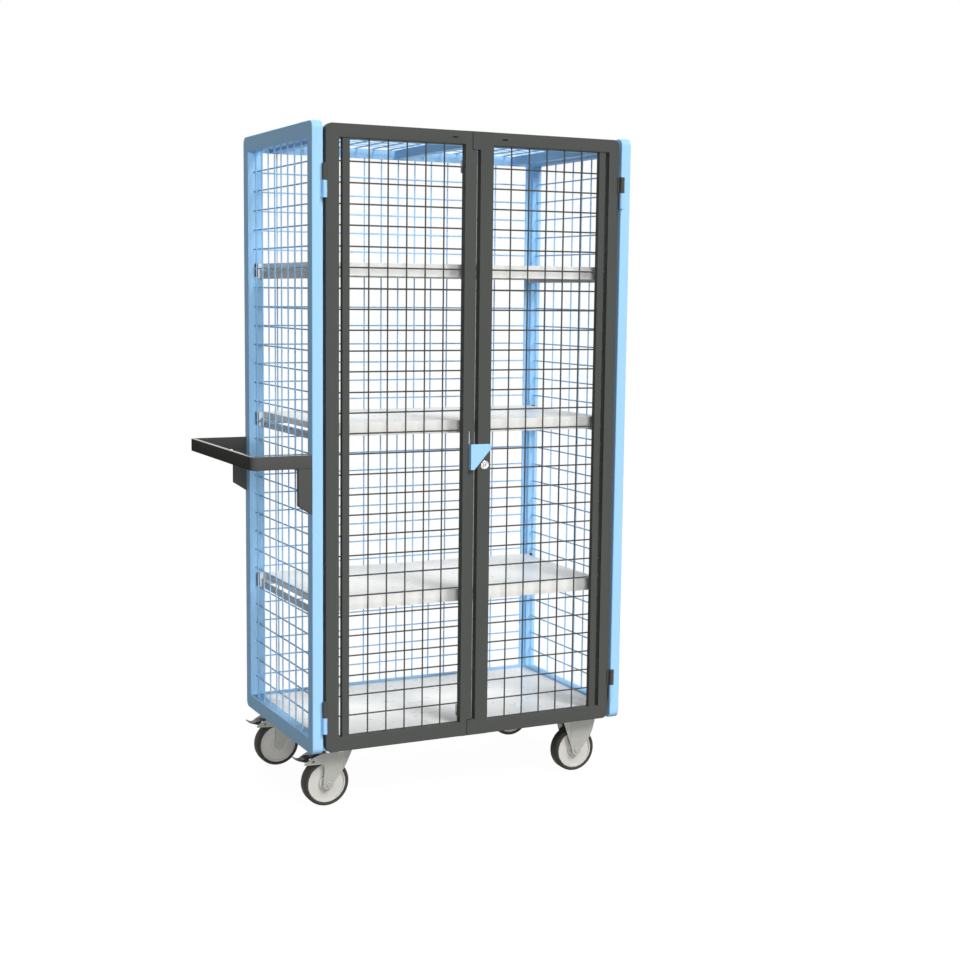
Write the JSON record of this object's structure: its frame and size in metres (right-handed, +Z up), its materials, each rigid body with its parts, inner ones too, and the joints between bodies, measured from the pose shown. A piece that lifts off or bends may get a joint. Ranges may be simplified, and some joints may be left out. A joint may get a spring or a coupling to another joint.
{
  "type": "wire cage cart",
  "caption": "Upright wire mesh cage cart with hinged double doors, inner shelves, a push handle at one end, braked swivel casters and fixed casters.",
  "frame": {"origin": "floor level, under the middle of the cart's whole box, push handle and hinges included", "axes": "+Z up, -Y towards the doors, -X towards the push handle"},
  "size_m": [1.0714, 0.5594, 1.759],
  "materials": {
    "blue_paint": "satin",
    "dark_paint": "satin",
    "shelf_paint": "gloss",
    "bracket_steel": "satin",
    "deck": "sealed",
    "zinc": "satin",
    "black_steel": "satin",
    "lock_metal": "polished",
    "rim": "moulded",
    "tyre": "matte",
    "bush": "moulded"
  },
  "bodies": {
    "cage": {"left_end_frame": "blue_paint", "right_end_frame": "blue_paint", "left_end_mesh": "blue_paint", "right_end_mesh": "blue_paint", "back_frame": "blue_paint", "back_mesh": "blue_paint", "roof_frame": "blue_paint", "roof_mesh": "blue_paint", "floor_frame": "blue_paint", "deck_board": "deck", "lower_shelf": "shelf_paint", "middle_shelf": "shelf_paint", "upper_shelf": "shelf_paint", "lower_shelf_brackets": "bracket_steel", "middle_shelf_brackets": "bracket_steel", "upper_shelf_brackets": "bracket_steel", "push_handle": "dark_paint", "frame_hinge_knuckles": "blue_paint", "hinge_pins": "zinc", "frame_bolts": "zinc", "caster_bolts": "zinc", "swivel_plates": "zinc", "fixed_forks": "zinc", "fixed_axles": "zinc", "latch_keepers": "zinc"},
    "left_door": {"left_door_frame": "dark_paint", "left_door_mesh": "dark_paint", "left_door_knuckles": "dark_paint"},
    "right_door": {"right_door_frame": "dark_paint", "right_door_mesh": "dark_paint", "right_door_knuckles": "dark_paint", "lock_body": "lock_metal"},
    "latch": {"latch_plate": "blue_paint", "latch_bar": "zinc"},
    "lock": {"lock_plug": "lock_metal", "lock_cam": "zinc"},
    "front_caster": {"front_caster_fork": "zinc", "front_caster_bearing": "zinc", "front_caster_axle": "zinc"},
    "rear_caster": {"rear_caster_fork": "zinc", "rear_caster_bearing": "zinc", "rear_caster_axle": "zinc"},
    "front_brake": {"front_brake_pedal": "black_steel"},
    "rear_brake": {"rear_brake_pedal": "black_steel"},
    "front_left_wheel": {"front_left_hub": "rim", "front_left_tyre": "tyre", "front_left_bush": "bush"},
    "rear_left_wheel": {"rear_left_hub": "rim", "rear_left_tyre": "tyre", "rear_left_bush": "bush"},
    "front_right_wheel": {"front_right_hub": "rim", "front_right_tyre": "tyre", "front_right_bush": "bush"},
    "rear_right_wheel": {"rear_right_hub": "rim", "rear_right_tyre": "tyre", "rear_right_bush": "bush"}
  },
  "joints": [
    {"name": "left_door_swing", "type": "hinge", "parent": "cage", "child": "left_door", "pos_m": [-0.34695, -0.27325, 0.958], "axis": [0, 0, -1], "range_deg": [0, 180]},
    {"name": "right_door_swing", "type": "hinge", "parent": "cage", "child": "right_door", "pos_m": [0.50545, -0.27325, 0.958], "axis": [0, 0, 1], "range_deg": [0, 180]},
    {"name": "latch_lift", "type": "slide", "parent": "left_door", "child": "latch", "axis": [0, 0, 1], "range_m": [0, 0.033]},
    {"name": "lock_turn", "type": "hinge", "parent": "right_door", "child": "lock", "pos_m": [0.10405, -0.26625, 0.8915], "axis": [0, 1, 0], "range_deg": [0, 90]},
    {"name": "front_swivel", "type": "hinge", "parent": "cage", "child": "front_caster", "pos_m": [-0.27925, -0.18825, 0.146], "axis": [0, 0, 1], "continuous": true},
    {"name": "front_brake_tip", "type": "hinge", "parent": "front_caster", "child": "front_brake", "pos_m": [-0.35725, -0.18825, 0.127], "axis": [0, -1, 0], "range_deg": [0, 15]},
    {"name": "front_left_spin", "type": "hinge", "parent": "front_caster", "child": "front_left_wheel", "pos_m": [-0.31555, -0.18825, 0.0625], "axis": [0, 1, 0], "continuous": true},
    {"name": "front_right_spin", "type": "hinge", "parent": "cage", "child": "front_right_wheel", "pos_m": [0.43075, -0.18825, 0.0625], "axis": [0, 1, 0], "continuous": true},
    {"name": "rear_swivel", "type": "hinge", "parent": "cage", "child": "rear_caster", "pos_m": [-0.27925, 0.20175, 0.146], "axis": [0, 0, 1], "continuous": true},
    {"name": "rear_brake_tip", "type": "hinge", "parent": "rear_caster", "child": "rear_brake", "pos_m": [-0.35725, 0.20175, 0.127], "axis": [0, -1, 0], "range_deg": [0, 15]},
    {"name": "rear_left_spin", "type": "hinge", "parent": "rear_caster", "child": "rear_left_wheel", "pos_m": [-0.31555, 0.20175, 0.0625], "axis": [0, 1, 0], "continuous": true},
    {"name": "rear_right_spin", "type": "hinge", "parent": "cage", "child": "rear_right_wheel", "pos_m": [0.43075, 0.20175, 0.0625], "axis": [0, 1, 0], "continuous": true}
  ]
}
